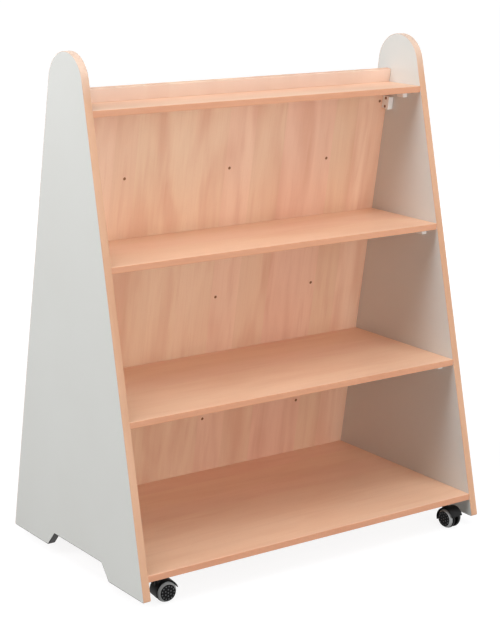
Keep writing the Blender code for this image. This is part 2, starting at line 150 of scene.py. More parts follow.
def evenFinish(name, look):
    # An even colour with faint clouds in it, and a fine grain in the gloss and in the surface
    finish, tree = emptyFinish(name)
    place = addNode(tree, "ShaderNodeTexCoord", {}).outputs["Object"]
    cloudPlace = addNode(tree, "ShaderNodeMapping", {
        "Vector": place, "Scale": (look["cloudSize"],) * 3}, vector_type="TEXTURE").outputs[0]
    grainPlace = addNode(tree, "ShaderNodeMapping", {
        "Vector": place, "Scale": (look["grainSize"],) * 3}, vector_type="TEXTURE").outputs[0]
    clouds = addNode(tree, "ShaderNodeTexNoise", {
        "Vector": cloudPlace, "Scale": 1.0, "Detail": look["cloudDetail"]}).outputs["Fac"]
    grain = addNode(tree, "ShaderNodeTexNoise", {
        "Vector": grainPlace, "Scale": 1.0, "Detail": 2.0}).outputs["Fac"]
    colour = addNode(tree, "ShaderNodeMix", {
        0: clouds, 6: linear(look["tone"]), 7: linear(look["shade"])}, data_type="RGBA").outputs[2]
    rough = addNode(tree, "ShaderNodeMapRange", {
        "Value": grain, "To Min": look["roughness"][0], "To Max": look["roughness"][1]}).outputs[0]
    bump = addNode(tree, "ShaderNodeBump", {
        "Height": grain, "Distance": look["grainDepth"], "Strength": look["bumpStrength"]}).outputs[0]
    shader = addNode(tree, "ShaderNodeBsdfPrincipled", {
        "Base Color": colour, "Roughness": rough, "IOR": look["ior"],
        "Specular IOR Level": look["gloss"], "Normal": bump}).outputs[0]
    addNode(tree, "ShaderNodeOutputMaterial", {"Surface": shader})
    return finish


# Beech printed on paper under clear melamine: a pale pinkish tan in staves of slightly different tone,
# with clouds and fibre streaks along the grain, faint rings and the short flecks of beech rays,
# under an even satin gloss.
beechPrint = {
    "pinkTone": "#F3C9B1",
    "tanTone": "#F0D0B1",
    "deepTone": "#D89E80",
    "lineTone": "#CB916E",
    "staveWidth": 82 * millimetre,
    "staveUnevenness": 0.9,             # 0 would make all staves the same width
    "staveShift": 9.0,                  # metres that one stave's marks may be moved along the grain
    "staveLevels": (0.2, 1.0),          # lots at which a stave begins to deepen and is deepest
    "shares": {                         # how far each mark goes towards its own tone
        "stave": 0.32, "cloud": 0.50, "streak": 0.38, "fibre": 0.16, "ring": 0.05, "fleck": 0.20},
    "poreDepth": 0.025 * millimetre,
    "bumpStrength": 0.5,
    "roughness": (0.36, 0.46),
    "ior": 1.50,
}

# Shelves have the same print, calmer, and a deeper band on the edges that face front and rear
beechShelfPrint = {
    **beechPrint,
    "pinkTone": "#F3C7AD",
    "tanTone": "#F3CBAC",
    "deepTone": "#DFA683",
    "shares": {
        "stave": 0.16, "cloud": 0.24, "streak": 0.26, "fibre": 0.12, "ring": 0.06, "fleck": 0.20},
    "edgeTint": "#E9CCBD",              # what the band keeps of the colour
    "edgeFacing": (0.5, 0.9),           # from where to where a face counts as an edge, as its normal's Y
}

# Painted light: the back panel's print is painted paler in front above the top shelf, where most light
# falls on it
beechBackPrint = {
    **beechPrint,
    "fadeTone": "#E9D3C4",
    "fadeShare": 0.8,
    "fadeFrom": (-0.002, 0.002),        # metres above the top shelf where it begins and is full
    "fadeFacing": (0.5, 0.9),           # how far a face has to look forward for it
}

# The band on the side panels' edges: the same print on plastic, a shade deeper, and painted paler at the
# crown as painted light
beechBandPrint = {
    **beechPrint,
    "pinkTone": "#DBAA8C",
    "tanTone": "#DBAD88",
    "deepTone": "#CC9570",
    "lineTone": "#B27B57",
    "shares": {
        "stave": 0.30, "cloud": 0.34, "streak": 0.42, "fibre": 0.12, "ring": 0.14, "fleck": 0.20},
    "fadeTone": "#EAD2C0",
    "fadeShare": 0.75,
    "fadeFrom": (0.0, 0.12),
}

noiseTexture, ringTexture = "ShaderNodeTexNoise", "ShaderNodeTexWave"
ringCell = 31 / (math.pi / 10)          # rings 31 mm apart: a wave texture repeats every pi / 10
ringWay = {"wave_type": "RINGS", "rings_direction": "X"}
beechMarks = {
    # length and width in mm, degrees off the grain, texture, its settings, from which level to which
    # it shows, its tone. Fibres are really 0.5 mm wide and flecks 3 by 0.6 mm, drawn coarser to show.
    "cloud": ((340, 62), 0.0, noiseTexture, {"Detail": 2.0, "Distortion": 0.4},
              (0.40, 0.70), "deepTone"),
    "drift": ((300, 42), 0.0, noiseTexture, {"Detail": 2.0},
              (0.44, 0.66), None),
    "streak": ((190, 16), 0.0, noiseTexture, {"Detail": 2.0, "Distortion": 0.6},
               (0.46, 0.74), "deepTone"),
    "fibre": ((120, 2.6), 0.0, noiseTexture, {"Detail": 4.0, "Roughness": 0.6},
              (0.46, 0.72), "deepTone"),
    "ring": ((ringCell, ringCell), 2.2, ringTexture,
             {"Distortion": 5.0, "Detail": 2.0, "Detail Scale": 0.22},
             (0.55, 1.0), "lineTone"),
    "fleck": ((9, 1.5), 0.0, noiseTexture, {"Detail": 1.0},
              (0.66, 0.76), "lineTone"),
}


def beechFinish(name, look, grainTurn, coordinates="Object"):
    # Pattern X runs along the grain: a Mapping's scale is the size of one pattern cell in metres
    finish, tree = emptyFinish(name)
    source = addNode(tree, "ShaderNodeTexCoord", {})
    board = addNode(tree, "ShaderNodeMapping", {
        "Vector": source.outputs[coordinates], "Rotation": grainTurn}, vector_type="TEXTURE").outputs[0]

    # Staves of uneven width: each draws three lots, for its hue, its depth and the place of its marks
    across = addNode(tree, "ShaderNodeSeparateXYZ", {"Vector": board}).outputs["Y"]
    staves = addNode(tree, "ShaderNodeTexVoronoi", {
        "W": across, "Scale": 1 / look["staveWidth"], "Randomness": look["staveUnevenness"]},
        voronoi_dimensions="1D").outputs["Color"]
    lots = addNode(tree, "ShaderNodeSeparateColor", {"Color": staves}).outputs
    shift = addNode(tree, "ShaderNodeMath", {
        0: lots["Blue"], 1: look["staveShift"]}, operation="MULTIPLY").outputs[0]
    moved = addNode(tree, "ShaderNodeCombineXYZ", {"X": shift}).outputs[0]
    grain = addNode(tree, "ShaderNodeVectorMath", {0: board, 1: moved}, operation="ADD").outputs["Vector"]
    depth = addNode(tree, "ShaderNodeMapRange", {
        "Value": lots["Green"], "From Min": look["staveLevels"][0], "From Max": look["staveLevels"][1],
        "To Max": look["shares"]["stave"]}, interpolation_type="SMOOTHSTEP").outputs[0]
    colour = addNode(tree, "ShaderNodeMix", {
        0: lots["Red"], 6: linear(look["tanTone"]), 7: linear(look["pinkTone"])},
        data_type="RGBA").outputs[2]
    colour = addNode(tree, "ShaderNodeMix", {
        0: depth, 6: colour, 7: linear(look["deepTone"])}, data_type="RGBA").outputs[2]

    # Marks along the grain, laid one over another. Clouds run on from stave to stave, and streaks
    # show only where drifts let them.
    levels, amounts = {}, {}
    for mark, (size, tilt, texture, settings, shown, tone) in beechMarks.items():
        length, width = np.array(size) * millimetre
        cell = addNode(tree, "ShaderNodeMapping", {
            "Vector": board if mark == "cloud" else grain,
            "Rotation": (0.0, math.radians(tilt), 0.0), "Scale": (length, width, width)},
            vector_type="TEXTURE").outputs[0]
        levels[mark] = addNode(tree, texture, {"Vector": cell, "Scale": 1.0, **settings},
                               **(ringWay if texture == ringTexture else {})).outputs["Fac"]
        amounts[mark] = addNode(tree, "ShaderNodeMapRange", {
            "Value": levels[mark], "From Min": shown[0], "From Max": shown[1],
            "To Max": look["shares"].get(mark, 1.0)}, interpolation_type="SMOOTHSTEP").outputs[0]
        if mark == "streak":
            amounts[mark] = addNode(tree, "ShaderNodeMath", {
                0: amounts[mark], 1: amounts["drift"]}, operation="MULTIPLY").outputs[0]
        if tone:
            colour = addNode(tree, "ShaderNodeMix", {
                0: amounts[mark], 6: colour, 7: linear(look[tone])}, data_type="RGBA").outputs[2]

    # Edges have a tone of their own, and what lies high up is painted paler as painted light
    normal = source.outputs["Normal"]
    if "edgeTint" in look:
        facing = addNode(tree, "ShaderNodeSeparateXYZ", {"Vector": normal}).outputs["Y"]
        eitherWay = addNode(tree, "ShaderNodeMath", {0: facing}, operation="ABSOLUTE").outputs[0]
        onEdge = addNode(tree, "ShaderNodeMapRange", {
            "Value": eitherWay, "From Min": look["edgeFacing"][0], "From Max": look["edgeFacing"][1]},
            interpolation_type="SMOOTHSTEP").outputs[0]
        colour = addNode(tree, "ShaderNodeMix", {
            0: onEdge, 6: colour, 7: linear(look["edgeTint"])},
            data_type="RGBA", blend_type="MULTIPLY").outputs[2]
    # painted light: a paler tone high up, standing for the light that falls there
    if "fadeTone" in look:
        height = addNode(tree, "ShaderNodeSeparateXYZ", {"Vector": source.outputs["Object"]}).outputs["Z"]
        low, high = [topHigh[2] + step for step in look["fadeFrom"]]
        paintedLight = addNode(tree, "ShaderNodeMapRange", {
            "Value": height, "From Min": low, "From Max": high, "To Max": look["fadeShare"]},
            interpolation_type="SMOOTHSTEP").outputs[0]
        if "fadeFacing" in look:
            facing = addNode(tree, "ShaderNodeSeparateXYZ", {"Vector": normal}).outputs["Y"]
            forward = addNode(tree, "ShaderNodeMath", {
                0: facing, 1: -1.0}, operation="MULTIPLY").outputs[0]
            inFront = addNode(tree, "ShaderNodeMapRange", {
                "Value": forward, "From Min": look["fadeFacing"][0], "From Max": look["fadeFacing"][1]},
                interpolation_type="SMOOTHSTEP").outputs[0]
            paintedLight = addNode(tree, "ShaderNodeMath", {
                0: paintedLight, 1: inFront}, operation="MULTIPLY").outputs[0]
        colour = addNode(tree, "ShaderNodeMix", {
            0: paintedLight, 6: colour, 7: linear(look["fadeTone"])}, data_type="RGBA").outputs[2]
    rough = addNode(tree, "ShaderNodeMapRange", {
        "Value": levels["fibre"], "To Min": look["roughness"][0],
        "To Max": look["roughness"][1]}).outputs[0]
    bump = addNode(tree, "ShaderNodeBump", {
        "Height": levels["fibre"], "Distance": look["poreDepth"],
        "Strength": look["bumpStrength"]}).outputs[0]
    shader = addNode(tree, "ShaderNodeBsdfPrincipled", {
        "Base Color": colour, "Roughness": rough, "IOR": look["ior"], "Normal": bump}).outputs[0]
    addNode(tree, "ShaderNodeOutputMaterial", {"Surface": shader})
    return finish


# Moulded and extruded plastics: an even colour, faintly clouded where it flowed, and a fine eroded
# grain from the mould or the die, which keeps the highlights broad and soft.
plasticSkin = {                         # what they share
    "cloudSize": 25 * millimetre,
    "cloudDetail": 2.0,
    "bumpStrength": 0.6,
    "ior": 1.52,
}
plastics = {
    # The edging strip is real; its near-black tone is painted shade for the feet's undersides and the
    # notch
    "darkAbsExtruded": {
        **plasticSkin,
        "tone": "#2C2A29",
        "shade": "#252322",
        "grainSize": 0.9 * millimetre,
        "grainDepth": 0.03 * millimetre,
        "roughness": (0.42, 0.55),
        "gloss": 0.3,
    },
    "whitePolyamideMoulded": {
        **plasticSkin,
        "tone": "#F6F6F4",
        "shade": "#F0F0ED",
        "grainSize": 0.8 * millimetre,
        "grainDepth": 0.02 * millimetre,
        "roughness": (0.34, 0.44),
        "gloss": 0.5,
    },
    "blackPolyamideMoulded": {
        **plasticSkin,
        "tone": "#151516",
        "shade": "#101011",
        "grainSize": 0.7 * millimetre,
        "grainDepth": 0.05 * millimetre,
        "roughness": (0.38, 0.52),
        "gloss": 0.12,
    },
}

# Plated and bronzed steel: a metal base whose plating clouds slightly, with fine tumbling marks.
metalSkin = {                           # what they share
    "markDepth": 0.02 * millimetre,
    "bumpStrength": 0.5,
}
metals = {
    "bronzedSteelTumbled": {
        **metalSkin,
        "tone": "#A0714F",
        "shade": "#7C5238",
        "markSize": 0.9 * millimetre,
        "roughness": (0.36, 0.58),
    },
    "zincPlatedSteel": {
        **metalSkin,
        "tone": "#C3C6C8",
        "shade": "#A9ACB0",
        "markSize": 1.6 * millimetre,
        "roughness": (0.26, 0.42),
    },
}


def metalFinish(name, look):
    finish, tree = emptyFinish(name)
    place = addNode(tree, "ShaderNodeTexCoord", {}).outputs["Object"]
    markPlace = addNode(tree, "ShaderNodeMapping", {
        "Vector": place, "Scale": (look["markSize"],) * 3}, vector_type="TEXTURE").outputs[0]
    marks = addNode(tree, "ShaderNodeTexNoise", {
        "Vector": markPlace, "Scale": 1.0, "Detail": 4.0, "Roughness": 0.65}).outputs["Fac"]
    colour = addNode(tree, "ShaderNodeMix", {
        0: marks, 6: linear(look["tone"]), 7: linear(look["shade"])}, data_type="RGBA").outputs[2]
    rough = addNode(tree, "ShaderNodeMapRange", {
        "Value": marks, "To Min": look["roughness"][0], "To Max": look["roughness"][1]}).outputs[0]
    bump = addNode(tree, "ShaderNodeBump", {
        "Height": marks, "Distance": look["markDepth"], "Strength": look["bumpStrength"]}).outputs[0]
    shader = addNode(tree, "ShaderNodeBsdfPrincipled", {
        "Base Color": colour, "Metallic": 1.0, "Roughness": rough, "Normal": bump}).outputs[0]
    addNode(tree, "ShaderNodeOutputMaterial", {"Surface": shader})
    return finish


# Twin-shot castor wheel: a black polyamide body with a grey elastomer shoulder moulded on,
# smooth and slightly waxy, with a painted highlight on the studs and a dusty scuff where it rolls.
wheelLook = {
    "body": "#080809",
    "shoulder": "#A8AAAB",
    # painted highlight: the studs' tops are painted paler
    "stud": "#606163",
    "scuff": "#1C1B1B",
    "gloss": 0.1,
    "grainSize": 0.8 * millimetre,
    "grainDepth": 0.03 * millimetre,
    "bumpStrength": 0.5,
    "roughness": (0.40, 0.58),
    "ior": 1.52,
}


def castorWheelFinish(look):
    finish, tree = emptyFinish("castorWheelTwinShotMoulded")
    place = addNode(tree, "ShaderNodeTexCoord", {}).outputs["Object"]
    grainPlace = addNode(tree, "ShaderNodeMapping", {
        "Vector": place, "Scale": (look["grainSize"],) * 3}, vector_type="TEXTURE").outputs[0]
    grain = addNode(tree, "ShaderNodeTexNoise", {
        "Vector": grainPlace, "Scale": 1.0, "Detail": 3.0}).outputs["Fac"]
    shoulder = addNode(tree, "ShaderNodeAttribute", {}, attribute_name="shoulder").outputs["Fac"]
    tread = addNode(tree, "ShaderNodeAttribute", {}, attribute_name="tread").outputs["Fac"]
    stud = addNode(tree, "ShaderNodeAttribute", {}, attribute_name="stud").outputs["Fac"]
    dust = addNode(tree, "ShaderNodeMath", {0: grain, 1: tread}, operation="MULTIPLY").outputs[0]
    colour = addNode(tree, "ShaderNodeMix", {
        0: shoulder, 6: linear(look["body"]), 7: linear(look["shoulder"])}, data_type="RGBA").outputs[2]
    # the studs get their painted highlight
    colour = addNode(tree, "ShaderNodeMix", {
        0: stud, 6: colour, 7: linear(look["stud"])}, data_type="RGBA").outputs[2]
    colour = addNode(tree, "ShaderNodeMix", {
        0: dust, 6: colour, 7: linear(look["scuff"])}, data_type="RGBA").outputs[2]
    rough = addNode(tree, "ShaderNodeMapRange", {
        "Value": grain, "To Min": look["roughness"][0], "To Max": look["roughness"][1]}).outputs[0]
    bump = addNode(tree, "ShaderNodeBump", {
        "Height": grain, "Distance": look["grainDepth"], "Strength": look["bumpStrength"]}).outputs[0]
    shader = addNode(tree, "ShaderNodeBsdfPrincipled", {
        "Base Color": colour, "Roughness": rough, "IOR": look["ior"],
        "Specular IOR Level": look["gloss"], "Normal": bump}).outputs[0]
    addNode(tree, "ShaderNodeOutputMaterial", {"Surface": shader})
    return finish


# The lines of the carcass, read from the solids
baseLow, baseHigh = box("base_shelf")
lowerLow, lowerHigh = box("lower_shelf")
topLow, topHigh = box("top_shelf")
bandLow, bandHigh = box("left_edge_band")
frontLean = (topLow[1] - baseLow[1]) / (topHigh[2] - baseHigh[2])
rearLean = (lowerHigh[1] - topHigh[1]) / (topLow[2] - lowerLow[2])
backTilt = math.atan(rearLean)
footLevel = box("left_base_edging")[0][2]
frontFoot = baseLow[1] - frontLean * (baseHigh[2] - footLevel)
rearFoot = baseHigh[1] + rearLean * (baseHigh[2] - footLevel)
upSlope = (0.0, -math.sin(backTilt), math.cos(backTilt))
awayFromBack = np.array([0.0, -math.cos(backTilt), -math.sin(backTilt)])

alongShelf = Matrix.Identity(3).to_euler()
upBack = Matrix((upSlope, (1.0, 0.0, 0.0), tuple(-awayFromBack))).transposed().to_euler()

greyMelamine = evenFinish("greyMelaminePearlPressed", greyBoard)
beechShelf = beechFinish("beechPrintedMelamineShelf", beechShelfPrint, alongShelf)
beechBack = beechFinish("beechPrintedMelamineBack", beechBackPrint, upBack)
beechBand = beechFinish("beechPrintedAbsBand", beechBandPrint, alongShelf, "UV")
edgingPaintedShade, whitePolyamide, blackPolyamide = [evenFinish(name, look) for name, look in plastics.items()]
bronzedSteel, zincSteel = [metalFinish(name, look) for name, look in metals.items()]
castorWheel = castorWheelFinish(wheelLook)

solidFinishes = (  # the first words that a solid's name holds decide its finish
    ("side_panel", greyMelamine), ("back_panel", beechBack), ("_block", whitePolyamide),
    ("shelf", beechShelf), ("ledge_screw", bronzedSteel), ("ledge", beechShelf),
    ("screw", bronzedSteel), ("plate", zincSteel), ("axle", zincSteel), ("hood", blackPolyamide),
    ("wheel", castorWheel), ("base_edging", edgingPaintedShade), ("edge_band", beechBand),
)
for name, solid in nodes.items():
    finish = next(finish for words, finish in solidFinishes if words in name)
    solid.data.materials.clear()
    solid.data.materials.append(finish)
print("finishes:", len(bpy.data.materials), "materials")


# Edge bands: from foot to foot over the crown, and the edging round the notch below, its near-black
# colour painted shade
panelEdge = {
    "frontFootLength": 0.151,
    "rearFootLength": 0.166,
    "notchRun": 0.032,
    "footRadius": 0.004,
    "notchRadius": 0.005,
    "bandThickness": 0.001,
    "glueOverlap": 0.0002,              # closes most of the gap to the board's core
    "arris": 0.0008,                    # rounding of the band's two outer edges
    "endGap": 0.0003,                   # between the ends of the band and of the edging
    "cornerSteps": 14,
    "crownSteps": 72,
    "arrisSteps": 6,
}


def panelCorners(look):
    # Corners (y, z, radius) of a side panel, counter-clockwise from the front foot. The crown's
    # radius is that of the circle that touches both leaning edges and the panel's top.
    notchLevel = box("left_base_edging")[1][2] - look["bandThickness"]
    notchFront = frontFoot + look["frontFootLength"]
    notchRear = rearFoot - look["rearFootLength"]
    apexRise = (rearFoot - frontFoot) / (frontLean + rearLean)
    halfWedge = (math.atan(frontLean) + math.atan(rearLean)) / 2
    tilt = (math.atan(frontLean) - math.atan(rearLean)) / 2
    spare = footLevel + apexRise - bandHigh[2]
    crownRadius = spare / (math.cos(tilt) / math.sin(halfWedge) - 1)
    foot, notch = look["footRadius"], look["notchRadius"]
    return [
        (frontFoot, footLevel, foot),
        (notchFront, footLevel, foot),
        (notchFront + look["notchRun"], notchLevel, notch),
        (notchRear - look["notchRun"], notchLevel, notch),
        (notchRear, footLevel, foot),
        (rearFoot, footLevel, foot),
        (frontFoot + frontLean * apexRise, footLevel + apexRise, crownRadius),
    ]


def cornerArc(corners, number, steps):
    # The arc that rounds a corner: its points, and the directions out of the board there
    before, here, after = [np.array(corners[(number + i) % len(corners)][:2]) for i in (-1, 0, 1)]
    radius = corners[number][2]
    into = (here - before) / np.linalg.norm(here - before)
    onward = (after - here) / np.linalg.norm(after - here)
    turn = math.atan2(into[0] * onward[1] - into[1] * onward[0], into @ onward)
    side = math.copysign(1.0, turn)
    start = here - into * radius * math.tan(abs(turn) / 2)
    centre = start + side * radius * np.array([-into[1], into[0]])
    arm = start - centre
    angle = turn * np.linspace(0, 1, steps)
    arms = np.stack([np.cos(angle) * arm[0] - np.sin(angle) * arm[1],
                     np.sin(angle) * arm[0] + np.cos(angle) * arm[1]], -1)
    return centre + arms, side * arms / radius


def bandProfile(look, width):
    # Across the band and out of it: a strip whose two outer edges are quarter circles
    half, arris = width / 2, look["arris"]
    inner = -look["bandThickness"] - look["glueOverlap"]
    angle = np.linspace(0, math.pi / 2, look["arrisSteps"])
    right = np.stack([half - arris + arris * np.cos(angle), -arris + arris * np.sin(angle)], -1)
    left = right[::-1] * (-1, 1)
    foot = np.array([[0.0, inner], [half, inner]])
    return np.vstack([foot, right, left, [[-half, inner]]])


def bandPiece(name, path, outward, profile, middle):
    # The profile carried along the path: a point lies at path + out * outward, moved across in X.
    # Its UV map is the length along the path and round the profile, in metres.
    rings = np.empty((len(path), len(profile), 3))
    rings[..., 0] = middle + profile[:, 0]
    rings[..., 1:] = path[:, None] + profile[:, 1, None] * outward[:, None]
    piece = ringPiece(name, rings, "caps")
    along = np.concatenate([[0], np.cumsum(np.linalg.norm(np.diff(path, axis=0), axis=1))])
    around = np.concatenate([[0], np.cumsum(np.linalg.norm(np.diff(profile, axis=0), axis=1))])
    pointUv = np.stack(np.meshgrid(along, around, indexing="ij"), -1).reshape(-1, 2)
    corner = np.empty(len(piece.data.loops), np.int32)
    piece.data.loops.foreach_get("vertex_index", corner)
    grainMap = piece.data.uv_layers.new(name="grain")
    grainMap.uv.foreach_set("vector", pointUv[corner].astype(np.float32).ravel())
    return piece


def dressPanelEdges(look):
    # A run is a list of arcs: points, with the directions out of the board
    corners = panelCorners(look)
    arcs = [cornerArc(corners, i, look["cornerSteps"]) for i in range(len(corners) - 1)]
    crown = cornerArc(corners, len(corners) - 1, look["crownSteps"])
    frontArc, *notchArcs, rearArc = arcs
    bandRun = [rearArc, crown, frontArc]
    down = np.array([[0.0, -1.0]])
    firstEnd = frontArc[0][-1:] + (look["endGap"], 0.0)
    lastEnd = rearArc[0][:1] - (look["endGap"], 0.0)
    baseRun = [(firstEnd, down), *notchArcs, (lastEnd, down)]
    # the edging's near-black finish is painted shade
    runs = (("edge_band", "EdgeBand", bandRun, beechBand, "beech_edge_band"),
            ("base_edging", "BaseEdging", baseRun, edgingPaintedShade, "dark_base_edging"))
    for side in ("left", "right"):
        for node, label, run, finish, slot in runs:
            low, high = box(f"{side}_{node}")
            profile = bandProfile(look, high[0] - low[0])
            path, outward = [np.vstack(part) for part in zip(*run)]
            piece = bandPiece(side + label, path, outward, profile, (low[0] + high[0]) / 2)
            settle(piece, finish, "carcass", slot, f"{side}_{node}")
    print("panel edges: 2 bands and 2 edgings")


dressPanelEdges(panelEdge)


# Screws: countersunk heads with a cross recess, where the solids have theirs
countersunkScrew = {
    "headRadius": 0.0039,
    "headHeight": 0.0026,               # sunk into the board, or raised above it where negative
    "raisedFall": 0.35,                 # share of a raised head's height lost from its middle to its rim
    "rimRound": 0.0003,
    "shankRadius": 0.0019,
    "length": 0.012,
    "crossLength": 0.0043,
    "crossWidth": 0.0010,
    "crossDepth": 0.0013,
    "wallSlope": 0.0003,                # the recess's walls lean by this much
    "crossTurn": (0.3, 0.5, 0.8),       # a direction that no screw has: the cross lies square to it
    "flatWithin": 0.00001,              # points this near a solid's outermost one are on its end face
    "columns": 64,
    "topRings": 18,
    "firstRing": 0.04,                  # share of the face's radius
    "rimSteps": 4,
    "sharpDegrees": 35,
}
panScrew = {                            # these hold the castor plates
    **countersunkScrew,
    "headRadius": 0.0040,
    "headHeight": -0.0024,
    "length": 0.003,
    "spacing": 0.030,                   # from screw to screw on a plate
}


def headCentre(look, node, outward):  # the middle of a solid's outermost flat face
    points = np.empty(len(nodes[node].data.vertices) * 3)
    nodes[node].data.vertices.foreach_get("co", points)
    points = points.reshape(-1, 3)
    reach = points @ outward
    face = points[reach > reach.max() - look["flatWithin"]]
    return (face.min(0) + face.max(0)) / 2


def crossRecess(look, across, along):
    # Depth of the cross: two crossed slots, each as deep as its nearer wall lets it be
    def slot(u, v):
        ends = look["crossLength"] / 2 - np.abs(u)
        walls = look["crossWidth"] / 2 - np.abs(v)
        return smoothStep(0, look["wallSlope"], np.minimum(ends, walls))
    return look["crossDepth"] * np.maximum(slot(across, along), slot(along, across))


def screwPiece(name, look, centre, outward):
    # Turned about its axis: the head's face with the cross sunk in it, the rounded rim, then the
    # cone or the flat underside, and the shank. Height is measured out of the board.
    radius, rim = look["headRadius"], look["rimRound"]
    angle = np.linspace(0, 2 * math.pi, look["columns"], endpoint=False)
    face = np.linspace(look["firstRing"], 1, look["topRings"]) * (radius - rim)
    turn = np.linspace(0, math.pi / 2, look["rimSteps"] + 1)[1:]
    raised = max(0.0, -look["headHeight"])
    under = min(0.0, -look["headHeight"])
    faceHeight = raised - look["raisedFall"] * raised * (face / radius) ** 2
    ringRadius = np.concatenate([face, radius - rim + rim * np.sin(turn),
                                 [radius, look["shankRadius"], look["shankRadius"]]])
    rimTop = faceHeight[-1]
    ringHeight = np.concatenate([faceHeight, rimTop - rim + rim * np.cos(turn),
                                 [0.0 if raised else rimTop - rim, under, -look["length"]]])
    sideways = np.cross(outward, look["crossTurn"])
    sideways /= np.linalg.norm(sideways)
    forward = np.cross(outward, sideways)
    across = ringRadius[:, None] * np.cos(angle)
    along = ringRadius[:, None] * np.sin(angle)
    height = ringHeight[:, None] + np.zeros(len(angle))
    height[:len(face)] -= crossRecess(look, across, along)[:len(face)]
    rings = (centre + across[..., None] * sideways + along[..., None] * forward
             + height[..., None] * outward)
    return ringPiece(name, rings, "poles", look["sharpDegrees"])


def dressScrews():
    for node in [name for name in nodes if "screw" in name]:
        outward = awayFromBack
        if "corner" in node:
            outward = np.array([1.0 if node.startswith("left") else -1.0, 0.0, 0.0])
        words = node.split("_")
        label = words[0] + "".join(word.capitalize() for word in words[1:]) + "Cross"
        centre = headCentre(countersunkScrew, node, outward)
        piece = screwPiece(label, countersunkScrew, centre, outward)
        settle(piece, bronzedSteel, "carcass", "bronzed_screw_steel", node)
    print("screws: cross recesses cut")


dressScrews()


# Castors: wheels, hoods, webs and bosses
wheelShape = {
    "treadRadius": 0.025,
    "innerFace": 0.0052,                # distances out from the castor's middle
    "outerFace": 0.0220,
    "capRadius": 0.0181,
    "capStart": 0.0004,                 # radius of the cap's innermost ring
    "capEdge": (0.0003, 0.0004),        # how far the cap's edge slopes, outwards and down
    "grooveRadius": 0.0188,
    "grooveWidth": 0.0004,
    "grooveDepth": 0.0016,
    "shoulderStart": 0.0193,
    "shoulderDrop": 0.0006,             # from the cap's face to the top of the shoulder
    "shoulderLean": 52.0,               # degrees from the axle's direction, where it leaves the groove
    "shoulderEdge": 0.0095,
    "greyUpTo": 0.0238,
    "innerRound": 0.0013,
    "innerStep": 0.0003,                # from the rounded edge to the first ring of the inner face
    "boreRadius": 0.0032,
    "boreEnd": 0.0181,
    "boreTip": 0.0005,                  # radius of the bore's last ring
    "dotSpacing": 0.0076,               # really about 5 mm, drawn coarser so that the studs show
    "dotRadius": 0.0021,
    "dotTop": 0.55,                     # share of a stud's radius that is full height
    "dotHeight": 0.0007,
    "pocketDepth": 0.0030,              # between the ribs of the inner face
    "pocketFrom": 0.0075,
    "pocketTo": 0.0215,
    "pocketSlope": 0.0012,
    "ribs": 8,
    "ribLevels": (0.80, 0.93),          # of a cosine wave: where a rib rises and where it is full
    "columns": 240,
    "capRings": 54,
    "shoulderRings": 21,
    "treadRings": 3,
    "roundRings": 12,
    "innerRings": 46,
    "sharpDegrees": 50,
}


def capDots(look, radius, angle):
    # Round studs on circles one spacing apart: circle k holds about 2 pi k studs, evenly spread and
    # turned by half a stud on every other circle. A stud's height falls from its flat top as a dome's.
    circle = np.round(radius / look["dotSpacing"])
    count = np.maximum(1, np.round(2 * math.pi * circle))
    turns = angle / (2 * math.pi) * count + 0.5 * (circle % 2)
    offAngle = (turns - np.round(turns)) * 2 * math.pi / count
    offCircle = radius - circle * look["dotSpacing"]
    away = np.hypot(offCircle, radius * offAngle * (circle > 0))
    inside = circle * look["dotSpacing"] + look["dotRadius"] < look["capRadius"]
    return look["dotHeight"] * inside * (1 - smoothStep(look["dotTop"], 1.0, away / look["dotRadius"]))


